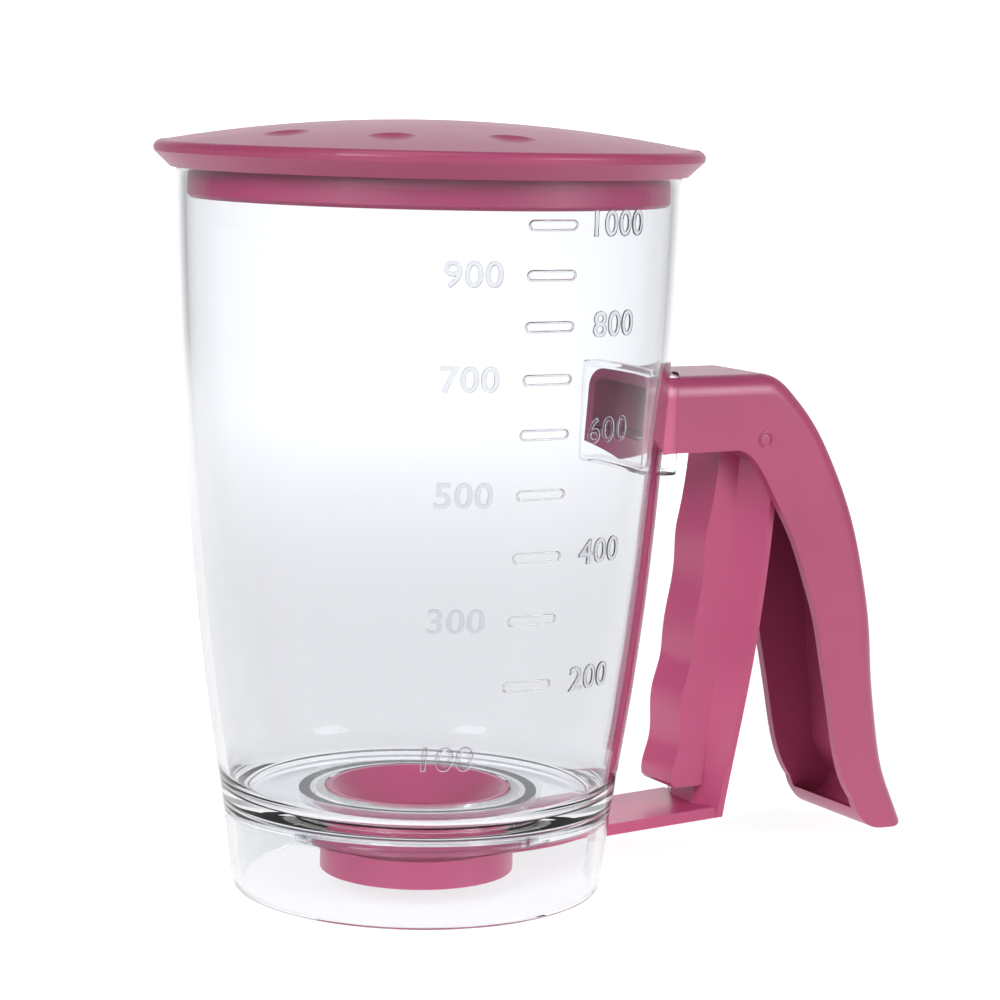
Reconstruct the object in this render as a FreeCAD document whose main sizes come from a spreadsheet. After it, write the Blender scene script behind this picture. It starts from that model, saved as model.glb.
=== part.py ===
import FreeCAD, Part
import Sketcher
import math
import os

# Hand-held pancake batter dispenser with a squeeze lever.
# Frame: origin at the centre of the cup's base on the table, +Z up, +X towards the handle.
# The scale marks are on the -Y side.

App = FreeCAD
V = FreeCAD.Vector
doc = FreeCAD.newDocument("batter_dispenser")

# Driving dimensions, millimetres and degrees
SIZES = {
    # cup
    "cup_wall": 2.2,
    "cup_rim_radius": 55.9,
    "cup_height": 162.0,
    "floor_top": 22.4,
    "floor_thick": 2.2,
    # open notch in the skirt, under the lever's foot
    "notch_play": 2.2,
    "notch_top": 15.0,
    # collar under the floor
    "collar_radius": 27.0,
    "collar_wall": 2.5,
    "collar_depth": 7.8,
    # scale bars
    "bar_length": 11.8,
    "bar_height": 2.5,
    "bar_relief": 0.35,
    "bar_first_rise": 32.0,
    "bar_last_drop": 10.05,
    # socket for the handle
    "socket_lip": 1.5,
    "socket_reach": 3.2,
    "socket_tongue": 7.0,
    "socket_fit": 0.15,
    # handle
    "handle_width": 29.0,
    "handle_wall": 2.2,
    "handle_web": 2.4,
    "handle_round": 4.5,
    "arm_top": 114.9,
    "arm_depth": 17.4,
    "palm_out": 63.3,
    "palm_kick": 9.9,
    "palm_low": 3.1,
    "channel_depth": 15.0,
    # pivot
    "pivot_set": 35.2,
    "pivot_drop": 15.1,
    "pin_radius": 1.95,
    "pin_play": 0.06,
    "hub_radius": 5.2,
    # lever
    "finger_width": 13.5,
    "finger_depth": 7.5,
    "finger_bottom": 16.6,
    "lever_play": 0.9,
    "lever_wall": 2.0,
    "nose_half": 4.8,
    "foot_inset": 0.4,
    "foot_thick": 2.6,
    "foot_height": 12.0,
    "pan_depth": 6.2,
    "pan_wall": 2.2,
    # valve
    "pan_radius": 22.0,
    "pan_drop": 2.4,
    "disc_radius": 20.5,
    "disc_thick": 1.5,
    "plug_radius": 9.2,
    "plug_height": 1.6,
    "seal_thick": 0.45,
    # nozzle
    "mouth_inset": 7.6,
    "outlet_radius": 11.0,
    "nozzle_drop": 0.4,
    "nozzle_wall": 2.3,
    "throat_rise": 3.2,
    "thread_relief": 1.1,
    "thread_pitch": 2.2,
    "thread_turns": 1.4,
    "gasket_thick": 1.9,
    "fit_gap": 0.2,
    # lid
    "lid_overhang": 4.9,
    "lid_lip": 4.9,
    "lid_seat": 0.0,
    "lid_plate": 2.2,
    "lid_rise": 5.4,
    "lid_drop": 0.9,
    "plug_depth": 7.3,
    "dimple_orbit": 44.0,
    "dimple_radius": 5.2,
    "dimple_depth": 0.9,
    "dimple_step": 33.0,
    "dimple_heading": -128.0,
    # return spring
    "spring_wire": 0.9,
    "spring_turns": 4.0,
    "spring_radius": 3.3,
    "spring_pitch": 1.5,
    "spring_room": 9.0,
}

# Sizes that follow from the ones above, as formulas in the same sheet
DERIVED = {
    "cup_base_radius": "=0.747764 * cup_rim_radius",
    "cup_floor_radius": "=0.792487 * cup_rim_radius",
    "cup_low_radius": "=0.858676 * cup_rim_radius",
    "cup_waist_radius": "=0.910555 * cup_rim_radius",
    "cup_mid_radius": "=0.948122 * cup_rim_radius",
    "cup_high_radius": "=0.977639 * cup_rim_radius",
    "cup_top_radius": "=0.994633 * cup_rim_radius",
    "bar_first": "=floor_top + bar_first_rise",
    "bar_last": "=cup_height - bar_last_drop",
    "arm_seat": "=0.964222 * cup_rim_radius",
    "arm_bottom": "=arm_top - arm_depth",
    "palm_reach": "=arm_seat + palm_out",
    "palm_tip": "=palm_reach + palm_kick",
    "pivot_reach": "=palm_reach - pivot_set",
    "pivot_height": "=arm_top - pivot_drop",
    "lever_half": "=0.5 * handle_width - handle_wall - lever_play",
    "foot_half": "=lever_half - foot_inset",
    "notch_half": "=foot_half + notch_play",
    "collar_bottom": "=floor_top - floor_thick - collar_depth",
    "nozzle_bottom": "=collar_bottom - nozzle_drop",
    "throat_height": "=collar_bottom + throat_rise",
    "pan_top": "=collar_bottom - pan_drop",
    "foot_low": "=pan_top - pan_depth",
    "mouth_radius": "=collar_radius - mouth_inset",
    "lid_radius": "=cup_rim_radius + lid_overhang",
}

sheet = doc.addObject("Spreadsheet::Sheet", "Sizes")
row = 1
for key, value in SIZES.items():
    sheet.set("A%d" % row, key)
    sheet.set("B%d" % row, repr(value))
    sheet.setAlias("B%d" % row, key)
    row += 1
doc.recompute()
for key, formula in DERIVED.items():
    sheet.set("A%d" % row, key)
    sheet.set("B%d" % row, formula)
    sheet.setAlias("B%d" % row, key)
    doc.recompute()
    row += 1


def val(key):
    return float(getattr(sheet, key))


def ref(key):
    return "<<Sizes>>." + key


sheet.Label = "Sizes"


def plane_of(body, role):
    return [f for f in body.Origin.OriginFeatures if f.Role == role][0]


def new_body(name):
    body = doc.addObject("PartDesign::Body", name)
    doc.recompute()
    return body


def new_sketch(body, name, role, offset=None, expression=None):
    sk = body.newObject("Sketcher::SketchObject", name)
    sk.AttachmentSupport = [(plane_of(body, role), "")]
    sk.MapMode = "FlatFace"
    if offset is not None:
        sk.AttachmentOffset = App.Placement(V(0, 0, offset), App.Rotation())
        if expression:
            sk.setExpression("AttachmentOffset.Base.z", expression)
    return sk


def line(a, b):
    return Part.LineSegment(V(a[0], a[1], 0), V(b[0], b[1], 0))


def curve(points):
    c = Part.BSplineCurve()
    c.interpolate([V(p[0], p[1], 0) for p in points])
    return c


def polygon(sk, points):
    n = len(points)
    for i in range(n):
        sk.addGeometry(line(points[i], points[(i + 1) % n]), False)


def closed_run(sk, pieces):
    # pieces is a list of point lists: two points make a line, three an arc, more a smooth curve
    for pts in pieces:
        if len(pts) == 2:
            sk.addGeometry(line(pts[0], pts[1]), False)
        elif len(pts) == 3:
            a, b, c = [V(q[0], q[1], 0) for q in pts]
            sk.addGeometry(Part.Arc(a, b, c), False)
        else:
            sk.addGeometry(curve(pts), False)


def pad(body, name, sk, length_expression, both=True):
    f = body.newObject("PartDesign::Pad", name)
    f.Profile = sk
    f.Midplane = both
    f.Length = 10.0
    f.setExpression("Length", length_expression)
    sk.Visibility = False
    return f


def revolve(body, name, sk):
    f = body.newObject("PartDesign::Revolution", name)
    f.Profile = sk
    f.ReferenceAxis = (sk, ["V_Axis"])
    f.Angle = 360.0
    return f


def edges_where(shape, test):
    found = []
    for i, e in enumerate(shape.Edges):
        if test(e):
            found.append("Edge%d" % (i + 1))
    return found


# Cup wall stations: height, outer radius
H = val("cup_height")
floor_top = val("floor_top")
floor_low = floor_top - val("floor_thick")
wall = val("cup_wall")
STATIONS = [
    (0.0, val("cup_base_radius")),
    (0.123 * H, val("cup_floor_radius")),
    (0.278 * H, val("cup_low_radius")),
    (0.432 * H, val("cup_waist_radius")),
    (0.586 * H, val("cup_mid_radius")),
    (0.741 * H, val("cup_high_radius")),
    (0.895 * H, val("cup_top_radius")),
    (H, val("cup_rim_radius")),
]
wall_curve = Part.BSplineCurve()
wall_curve.interpolate([V(r, z, 0) for z, r in STATIONS])


def wall_radius(z):
    lo = wall_curve.FirstParameter
    hi = wall_curve.LastParameter
    for _ in range(60):
        mid = 0.5 * (lo + hi)
        if wall_curve.value(mid).y < z:
            lo = mid
        else:
            hi = mid
    return wall_curve.value(0.5 * (lo + hi)).x


def wall_points(z0, z1, offset, count=9):
    pts = []
    for i in range(count):
        z = z0 + (z1 - z0) * i / (count - 1)
        pts.append((wall_radius(z) + offset, z))
    return pts


def wall_arcs(z0, z1, offset, count=4):
    # the wall's line as a few long arcs, from z0 to z1
    pts = wall_points(z0, z1, offset, 2 * count + 1)
    return [pts[2 * i:2 * i + 3] for i in range(count)]


# Cup: wall, floor and skirt in one profile
cup_body = new_body("cup_shell")
sk = new_sketch(cup_body, "cup_profile", "XZ_Plane")
inner_arcs = wall_arcs(floor_top + 3.0, H - 1.0, -wall)
outer_arcs = wall_arcs(H - 0.9, 0.8, 0.0)
skirt_in = wall_points(0.8, floor_low, -wall, 3)
inner_low = inner_arcs[0][0]
inner_high = inner_arcs[-1][-1]
outer_high = outer_arcs[0][0]
outer_low = outer_arcs[-1][-1]
hole = val("mouth_radius") + 1.5
closed_run(sk, [
    [(hole, floor_low), (hole, floor_top)],
    [(hole, floor_top), (inner_low[0] - 3.0, floor_top)],
    [(inner_low[0] - 3.0, floor_top), (inner_low[0] - 0.85, floor_top + 0.8), inner_low],
    *inner_arcs,
    [inner_high, (inner_high[0] + 0.5, H)],
    [(inner_high[0] + 0.5, H), (outer_high[0] - 0.6, H)],
    [(outer_high[0] - 0.6, H), outer_high],
    *outer_arcs,
    [outer_low, (outer_low[0] - 0.7, 0.0)],
    [(outer_low[0] - 0.7, 0.0), (skirt_in[0][0] + 0.5, 0.0)],
    [(skirt_in[0][0] + 0.5, 0.0), skirt_in[0]],
    skirt_in,
    [skirt_in[-1], (hole, floor_low)],
])
revolve(cup_body, "cup_turn", sk)

# Collar ring under the floor
collar_body = new_body("collar_ring")
sk = new_sketch(collar_body, "collar_profile", "XZ_Plane")
collar_out = val("collar_radius")
collar_in = collar_out - val("collar_wall")
collar_low = val("collar_bottom")
polygon(sk, [
    (collar_in, collar_low + 0.4),
    (collar_in + 0.4, collar_low),
    (collar_out - 0.4, collar_low),
    (collar_out, collar_low + 0.4),
    (collar_out, floor_low + 0.3),
    (collar_in, floor_low + 0.3),
])
revolve(collar_body, "collar_turn", sk)

# Scale bars: rounded bars raised from the wall, spaced as the volumes fall
bars_body = new_body("scale_bars")
BAR_SHARES = [0.0, 0.1468, 0.2861, 0.4231, 0.5539, 0.6720, 0.7847, 0.8941, 1.0]
bar_r = 0.5 * val("bar_height")
bar_half = 0.5 * val("bar_length") - bar_r
bar_low = val("bar_first")
bar_span = val("bar_last") - bar_low
relief = val("bar_relief")
for number, share in enumerate(BAR_SHARES):
    zc = bar_low + share * bar_span
    top = zc + bar_r
    bot = zc - bar_r
    sk = new_sketch(bars_body, "bar_outline_%d" % number, "XZ_Plane", wall_radius(zc) + relief)
    sk.addGeometry(line((-bar_half, bot), (bar_half, bot)), False)
    right = Part.Arc(V(bar_half, bot, 0), V(bar_half + bar_r, zc, 0), V(bar_half, top, 0))
    sk.addGeometry(right, False)
    sk.addGeometry(line((bar_half, top), (-bar_half, top)), False)
    left = Part.Arc(V(-bar_half, top, 0), V(-bar_half - bar_r, zc, 0), V(-bar_half, bot, 0))
    sk.addGeometry(left, False)
    bar_pad = bars_body.newObject("PartDesign::Pad", "bar_pad_%d" % number)
    bar_pad.Profile = sk
    bar_pad.Reversed = True
    bar_pad.Length = relief + 0.5 * wall
    bar_pad.setExpression("Length", ref("bar_relief") + " + 0.5 * " + ref("cup_wall"))

# Socket: a frame round the handle's end and a tongue inside it
half = 0.5 * val("handle_width")
fit = val("socket_fit")
lip = val("socket_lip")
arm_top = val("arm_top")
arm_low = val("arm_bottom")
hw = val("handle_wall")
web = val("handle_web")
seat = val("arm_seat")
frame_box = doc.addObject("Part::Box", "socket_frame_block")
frame_box.setExpression("Length", ref("socket_reach") + " + 12")
frame_box.setExpression("Width", ref("handle_width") + " + 2 * " + ref("socket_fit") + " + 2 * " + ref("socket_lip"))
frame_box.setExpression("Height", ref("arm_top") + " - " + ref("arm_bottom") + " + 2 * " + ref("socket_fit") + " + 2 * " + ref("socket_lip") + " + 3.4")
frame_box.setExpression("Placement.Base.x", ref("arm_seat") + " - 12")
frame_box.setExpression("Placement.Base.y", "-0.5 * " + ref("handle_width") + " - " + ref("socket_fit") + " - " + ref("socket_lip"))
frame_box.setExpression("Placement.Base.z", ref("arm_bottom") + " - " + ref("socket_fit") + " - " + ref("socket_lip") + " - 3.4")
frame_hole = doc.addObject("Part::Box", "socket_frame_hole")
frame_hole.setExpression("Length", ref("socket_reach") + " + 40")
frame_hole.setExpression("Width", ref("handle_width") + " + 2 * " + ref("socket_fit"))
frame_hole.setExpression("Height", ref("arm_top") + " - " + ref("arm_bottom") + " + 2 * " + ref("socket_fit") + " + 3.4")
frame_hole.setExpression("Placement.Base.x", ref("arm_seat") + " - 20")
frame_hole.setExpression("Placement.Base.y", "-0.5 * " + ref("handle_width") + " - " + ref("socket_fit"))
frame_hole.setExpression("Placement.Base.z", ref("arm_bottom") + " - " + ref("socket_fit") + " - 3.4")
socket_frame = doc.addObject("Part::Cut", "socket_frame")
socket_frame.Base = frame_box
socket_frame.Tool = frame_hole
tongue = doc.addObject("Part::Box", "socket_tongue")
tongue.setExpression("Length", ref("socket_tongue") + " + 6")
tongue.setExpression("Width", ref("handle_width") + " - 2 * " + ref("handle_wall") + " - 2 * " + ref("socket_fit"))
tongue.setExpression("Height", ref("arm_top") + " - " + ref("arm_bottom") + " - " + ref("handle_web") + " - " + ref("socket_fit") + " - 3.4")
tongue.setExpression("Placement.Base.x", ref("arm_seat") + " - 6")
tongue.setExpression("Placement.Base.y", "-0.5 * " + ref("handle_width") + " + " + ref("handle_wall") + " + " + ref("socket_fit"))
tongue.setExpression("Placement.Base.z", ref("arm_bottom") + " + 3.4")
socket_all = doc.addObject("Part::MultiFuse", "socket_pieces")
socket_all.Shapes = [socket_frame, tongue]

# Everything inside this turned core is removed from the socket
core_body = new_body("inner_core")
sk = new_sketch(core_body, "core_profile", "XZ_Plane")
core_out = wall_arcs(20.0, H - 2.0, -0.4 * wall)
closed_run(sk, [
    *core_out,
    [core_out[-1][-1], (0.0, H - 2.0)],
    [(0.0, H - 2.0), (0.0, 20.0)],
    [(0.0, 20.0), core_out[0][0]],
])
revolve(core_body, "core_turn", sk)
socket = doc.addObject("Part::Cut", "socket_on_wall")
socket.Base = socket_all
socket.Tool = core_body

cup_fused = doc.addObject("Part::MultiFuse", "cup_fused")
cup_fused.Shapes = [cup_body, collar_body, bars_body, socket]

notch = doc.addObject("Part::Box", "skirt_notch")
notch.setExpression("Length", ref("cup_base_radius"))
notch.setExpression("Width", "2 * " + ref("notch_half"))
notch.setExpression("Height", ref("notch_top") + " + 5")
notch.setExpression("Placement.Base.x", ref("collar_radius") + " + 2")
notch.setExpression("Placement.Base.y", "-" + ref("notch_half"))
notch.Placement.Base.z = -5.0
notch_round = doc.addObject("Part::Fillet", "skirt_notch_round")
notch_round.Base = notch
doc.recompute()
top_edges = []
for i, e in enumerate(notch.Shape.Edges):
    a = e.Vertexes[0].Point
    b = e.Vertexes[-1].Point
    if abs(a.z - b.z) < 1e-6 and a.z > 0 and abs(a.y - b.y) < 1e-6:
        top_edges.append((i + 1, 4.0, 4.0))
notch_round.Edges = top_edges
cup = doc.addObject("Part::Cut", "cup")
cup.Base = cup_fused
cup.Tool = notch_round
doc.recompute()

# Lid: rounded lip, low dome, plug ring that sits inside the rim
lid_body = new_body("lid_turned")
sk = new_sketch(lid_body, "lid_profile", "XZ_Plane")
lid_r = val("lid_radius")
lip_low = H + val("lid_seat")
lip_thick = val("lid_lip")
lip_top = lip_low + lip_thick
rise = val("lid_rise")
plate = val("lid_plate")
plug_out = wall_radius(H - 4.0) - wall - 0.3
plug_in = plug_out - 1.9
plug_low = H - val("plug_depth")
dome_edge = lid_r - 2.2
dome_top = lip_top + rise
dome_R = (dome_edge ** 2 + rise ** 2) / (2.0 * rise)


def dome_z(r):
    return dome_top - dome_R + math.sqrt(dome_R ** 2 - r * r)


drop_low = lip_low - val("lid_drop")
drop_in = wall_radius(H - 1.0) + 0.3
edge_top = lip_top - 1.4
edge_low = lip_top - 2.4
sk.addGeometry(Part.Arc(V(0, dome_top, 0), V(0.5 * dome_edge, dome_z(0.5 * dome_edge), 0), V(dome_edge, lip_top, 0)))
sk.addGeometry(Part.Arc(V(dome_edge, lip_top, 0), V(lid_r - 0.45, lip_top - 0.6, 0), V(lid_r, edge_top, 0)))
sk.addGeometry(line((lid_r, edge_top), (lid_r - 0.1, edge_low)))
sk.addGeometry(line((lid_r - 0.1, edge_low), (lid_r - 0.9, edge_low - 0.8)))
sk.addGeometry(line((lid_r - 0.9, edge_low - 0.8), (drop_in + 1.0, drop_low)))
sk.addGeometry(line((drop_in + 1.0, drop_low), (drop_in, drop_low)))
sk.addGeometry(line((drop_in, drop_low), (drop_in, lip_low)))
sk.addGeometry(line((drop_in, lip_low), (plug_out, lip_low)))
sk.addGeometry(line((plug_out, lip_low), (plug_out, plug_low + 0.8)))
sk.addGeometry(line((plug_out, plug_low + 0.8), (plug_out - 0.7, plug_low)))
sk.addGeometry(line((plug_out - 0.7, plug_low), (plug_in, plug_low)))
under = dome_z(plug_in) - plate
sk.addGeometry(line((plug_in, plug_low), (plug_in, under)))
mid_under = dome_z(0.5 * plug_in) - plate
sk.addGeometry(Part.Arc(V(plug_in, under, 0), V(0.5 * plug_in, mid_under, 0), V(0, dome_top - plate, 0)))
sk.addGeometry(line((0, dome_top - plate), (0, dome_top)))
revolve(lid_body, "lid_turn", sk)
dimple_r = val("dimple_radius")
dimple_d = val("dimple_depth")
ball_R = (dimple_r ** 2 + dimple_d ** 2) / (2.0 * dimple_d)
orbit = val("dimple_orbit")
balls = []
for k in (-1, 0, 1):
    heading = math.radians(val("dimple_heading") + k * val("dimple_step"))
    ball = doc.addObject("Part::Sphere", "dimple_ball_%d" % (k + 1))
    ball.Radius = ball_R
    slope = math.asin(orbit / dome_R)
    out = dome_R - dimple_d + ball_R
    cx = out * math.sin(slope) * math.cos(heading)
    cy = out * math.sin(slope) * math.sin(heading)
    cz = dome_top - dome_R + out * math.cos(slope)
    ball.Placement = App.Placement(V(cx, cy, cz), App.Rotation())
    balls.append(ball)
lid = doc.addObject("Part::Cut", "lid")
lid.Base = lid_body
ball_set = doc.addObject("Part::MultiFuse", "dimple_balls")
ball_set.Shapes = balls
lid.Tool = ball_set

# Handle side outline: arm, shoulder, palm and lower tip
reach = val("palm_reach")
tip = val("palm_tip")
low = val("palm_low")
depth = val("channel_depth")
tall = (arm_top - low) / 111.8
SHOULDER = [
    (reach - 34.2, arm_top),
    (reach - 28.9, arm_top - 2.0 * tall),
    (reach - 26.0, arm_top - 4.6 * tall),
    (reach - 20.0, arm_top - 11.3 * tall),
    (reach - 13.8, arm_top - 21.4 * tall),
    (reach - 7.1, arm_top - 36.7 * tall),
    (reach - 3.6, arm_top - 49.4 * tall),
    (reach - 1.2, arm_top - 61.8 * tall),
    (reach, arm_top - 74.2 * tall),
    (reach + 1.7, arm_top - 85.5 * tall),
    (reach + 4.4, arm_top - 97.7 * tall),
    (tip - 1.4, low + 4.7),
    (tip, low + 1.6),
]
FOOT_OF_PALM = [
    (tip, low + 1.6),
    (tip - 1.2, low + 0.5),
    (tip - 5.0, low),
    (tip - 10.2, low + 0.7),
    (tip - 13.9, low + 3.9),
    (tip - 15.9, low + 8.0),
]
FREE_EDGE = [
    (tip - 15.9, low + 8.0),
    (reach + 5.9 - depth, low + 13.1 * tall),
    (reach + 2.9 - depth, low + 23.2 * tall),
    (reach + 0.9 - depth, low + 33.1 * tall),
    (reach - 1.3 - depth, low + 43.0 * tall),
    (reach - 3.9 - depth, low + 54.1 * tall),
    (reach - 7.0 - depth, low + 62.7 * tall),
    (reach - 10.9 - depth, low + 72.3 * tall),
    (reach - 17.1 - depth, low + 83.1 * tall),
    (reach - 22.3 - depth, arm_low - 3.2),
    (reach - 24.4 - depth, arm_low - 1.2),
    (reach - 27.2 - depth, arm_low),
]


def inset(points, distance):
    # moves an open run of points to its right-hand side
    moved = []
    n = len(points)
    for i in range(n):
        a = points[max(i - 1, 0)]
        b = points[min(i + 1, n - 1)]
        dx = b[0] - a[0]
        dz = b[1] - a[1]
        size = math.hypot(dx, dz)
        moved.append((points[i][0] + distance * dz / size, points[i][1] - distance * dx / size))
    return moved


arm_start = seat - 12.0
handle_body = new_body("handle_solid")
sk = new_sketch(handle_body, "handle_outline", "XZ_Plane")
closed_run(sk, [
    [(arm_start, arm_top), SHOULDER[0]],
    SHOULDER,
    FOOT_OF_PALM,
    FREE_EDGE,
    [FREE_EDGE[-1], (arm_start, arm_low)],
    [(arm_start, arm_low), (arm_start, arm_top)],
])
pad(handle_body, "handle_pad", sk, ref("handle_width"))
doc.recompute()
hp = doc.getObject("handle_pad")


def on_back(e):
    a = e.Vertexes[0].Point
    b = e.Vertexes[-1].Point
    if abs(abs(a.y) - half) > 1e-4 or abs(a.y - b.y) > 1e-4:
        return False
    m = e.valueAt(0.5 * (e.FirstParameter + e.LastParameter))
    if abs(m.z - arm_top) < 1e-4:
        return True
    return m.x > reach - 9.0 * tall - 4.0 and e.Length > 0.8 * arm_top


back_edges = edges_where(hp.Shape, on_back)
print("handle edges rounded", back_edges)
rounding = handle_body.newObject("PartDesign::Fillet", "handle_rounding")
rounding.Base = (hp, back_edges)
rounding.Radius = 4.5
rounding.setExpression("Radius", ref("handle_round"))

# Hollow of the channel, open towards the cup
hollow = new_sketch(handle_body, "channel_outline", "XZ_Plane")
inner_back = inset(SHOULDER[1:11], web)
in_top = (reach - 36.0, arm_top - web)
in_low = (tip - 8.0, low + web + 0.9)
ceiling = [in_top, (reach - 32.2, arm_top - web - 0.8)] + inner_back[1:] + [(tip - 4.3, low + 8.2), in_low]
closed_run(hollow, [
    [(arm_start - 1.0, arm_top - web), in_top],
    ceiling,
    [in_low, (tip - 13.0, low + web + 2.4)],
    [(tip - 13.0, low + web + 2.4), (tip - 19.5, low + 6.5)],
    [(tip - 19.5, low + 6.5), (arm_start + 10.0, low + 6.5)],
    [(arm_start + 10.0, low + 6.5), (arm_start + 10.0, arm_low - 4.0)],
    [(arm_start + 10.0, arm_low - 4.0), (arm_start - 1.0, arm_low - 4.0)],
    [(arm_start - 1.0, arm_low - 4.0), (arm_start - 1.0, arm_top - web)],
])
channel = handle_body.newObject("PartDesign::Pocket", "channel_pocket")
channel.Profile = hollow
channel.Midplane = True
channel.setExpression("Length", ref("handle_width") + " - 2 * " + ref("handle_wall"))

# Strap under the handle's end, with a shallow vee
strap = new_sketch(handle_body, "strap_outline", "YZ_Plane", seat, ref("arm_seat") + " - 4")
polygon(strap, [
    (-half, arm_low + 2.4),
    (-half, arm_low),
    (0.0, arm_low - 2.9),
    (half, arm_low),
    (half, arm_low + 2.4),
])
strap_pad = handle_body.newObject("PartDesign::Pad", "strap_pad")
strap_pad.Profile = strap
strap_pad.Length = 6.6

# Pin holes through both flanges
pins = new_sketch(handle_body, "pin_circle", "XZ_Plane")
px = val("pivot_reach")
pz = val("pivot_height")
pins.addGeometry(Part.Circle(V(px, pz, 0), V(0, 0, 1), val("pin_radius")), False)
pins.addConstraint(Sketcher.Constraint("Radius", 0, val("pin_radius")))
pins.setExpression("Constraints[0]", ref("pin_radius"))
bore = handle_body.newObject("PartDesign::Pocket", "pin_holes")
bore.Profile = pins
bore.Midplane = True
bore.Length = 60.0
doc.recompute()

# The handle's end follows the cup's wall with a small gap
seat_body = new_body("wall_cutter")
sk = new_sketch(seat_body, "cutter_profile", "XZ_Plane")
cut_run = wall_arcs(60.0, H - 10.0, 0.1)
closed_run(sk, [
    *cut_run,
    [cut_run[-1][-1], (0.0, H - 10.0)],
    [(0.0, H - 10.0), (0.0, 60.0)],
    [(0.0, 60.0), cut_run[0][0]],
])
revolve(seat_body, "cutter_turn", sk)
handle = doc.addObject("Part::Cut", "handle_shell")
handle.Base = handle_body
handle.Tool = seat_body

# Pivot pin, flush with both flanges
pin = doc.addObject("Part::Cylinder", "pivot_pin")
pin.setExpression("Radius", ref("pin_radius"))
pin.setExpression("Height", ref("handle_width") + " - 0.1")
pin.Placement = App.Placement(V(px, half - 0.05, pz), App.Rotation(V(1, 0, 0), 90))
doc.recompute()

# Lever: finger piece with a wavy front
FINGER_FRONT = [
    (74.6, 97.0),
    (74.3, 93.0),
    (73.6, 87.5),
    (72.4, 81.0),
    (71.5, 76.5),
    (71.3, 70.0),
    (70.8, 64.5),
    (69.4, 57.5),
    (68.6, 51.0),
    (68.2, 46.0),
    (66.6, 40.5),
    (65.8, 35.5),
    (66.0, 30.0),
    (65.5, 25.5),
    (64.1, 21.0),
    (64.0, 17.6),
]
fb = val("finger_bottom")
fd = val("finger_depth")
grow = pz / 99.8
stretch = (pz - 2.8 - fb) / 80.4


def lever_x(x):
    # reach of a lever point: measured from the pin, and growing with the pin's height
    return px + (x - 82.0) * grow


front = [(lever_x(x), fb + (z - 16.6) * stretch) for x, z in FINGER_FRONT]
lever_body = new_body("lever_solid")

# Lever channel: narrow nose in front, wide at the back, lofted over its height
LEVER_STATIONS = [
    # height, nose reach, nose half width, back reach
    (9.6, 70.6, 4.8, 75.6),
    (20.0, 72.0, 4.9, 77.6),
    (42.0, 73.6, 5.4, 82.1),
    (60.0, 76.4, 5.8, 85.0),
    (80.0, 78.4, 6.0, 87.2),
    (98.0, 79.6, 6.0, 88.4),
]
lh = val("lever_half")
nose = val("nose_half") / 4.8
wall_l = val("lever_wall")
fh = val("foot_height")
body_low = fh - 2.4
body_tall = (pz - 1.8 - body_low) / 88.4


def lever_section(name, station, inner):
    z, xn, hn, xb = station
    xn = lever_x(xn)
    xb = lever_x(xb)
    hn = hn * nose
    s = new_sketch(lever_body, name, "XY_Plane", body_low + (z - 9.6) * body_tall)
    if inner:
        a = wall_l
        polygon(s, [
            (xn + a, -(hn - 0.55 * a)),
            (xb - 0.4, -(lh - 1.1 * a)),
            (xb + 2.0, -(lh - 1.1 * a)),
            (xb + 2.0, lh - 1.1 * a),
            (xb - 0.4, lh - 1.1 * a),
            (xn + a, hn - 0.55 * a),
        ])
    else:
        polygon(s, [
            (xn, -hn),
            (xb - 1.6, -lh),
            (xb, -lh),
            (xb, lh),
            (xb - 1.6, lh),
            (xn, hn),
        ])
    return s


outer_sections = [lever_section("lever_outer_%d" % i, s, False) for i, s in enumerate(LEVER_STATIONS)]
loft = lever_body.newObject("PartDesign::AdditiveLoft", "lever_loft")
loft.Profile = outer_sections[0]
loft.Sections = outer_sections[1:]
loft.Ruled = False

fs = new_sketch(lever_body, "finger_outline", "XZ_Plane")
back_top = (front[0][0] + fd, front[0][1])
back_low = (front[-1][0] + fd + 1.0, fb)
closed_run(fs, [
    front,
    [front[-1], (front[-1][0] + 0.9, fb)],
    [(front[-1][0] + 0.9, fb), back_low],
    [back_low, back_top],
    [back_top, front[0]],
])
finger = pad(lever_body, "finger_pad", fs, ref("finger_width"))
doc.recompute()

inner_stations = [
    (12.4, 70.9, 4.8, 76.0),
    (20.0, 72.0, 4.9, 77.6),
    (42.0, 73.6, 5.4, 82.1),
    (60.0, 76.4, 5.8, 85.0),
    (80.0, 78.4, 6.0, 87.2),
    (91.0, 79.2, 6.0, 88.0),
]
inner_sections = [lever_section("lever_inner_%d" % i, s, True) for i, s in enumerate(inner_stations)]
scoop = lever_body.newObject("PartDesign::SubtractiveLoft", "lever_scoop")
scoop.Profile = inner_sections[0]
scoop.Sections = inner_sections[1:]
scoop.Ruled = False
doc.recompute()

# Foot: flat strip through the notch to the valve's pan under the collar; the pan is hollow below
ft = val("foot_thick")
fl = val("foot_low")
pan_top = val("pan_top")
ramp_top = val("cup_base_radius") - 1.5
ramp_end = val("collar_radius") + 2.6
foot = new_sketch(lever_body, "foot_outline", "XZ_Plane")
slope_z = fh - 1.35
polygon(foot, [
    (lever_x(73.4), fh + 0.1),
    (ramp_top, slope_z),
    (ramp_end, pan_top),
    (10.0, pan_top),
    (10.0, pan_top - ft),
    (ramp_end + 1.6, pan_top - ft),
    (ramp_top + 1.7, slope_z - ft),
    (lever_x(75.2), fh - ft + 0.1),
])
pad(lever_body, "foot_pad", foot, "2 * " + ref("foot_half"))
pan = new_sketch(lever_body, "pan_circle", "XY_Plane", fl, ref("foot_low"))
pan.addGeometry(Part.Circle(V(0, 0, 0), V(0, 0, 1), val("pan_radius")), False)
pan_pad = lever_body.newObject("PartDesign::Pad", "pan_pad")
pan_pad.Profile = pan
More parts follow.
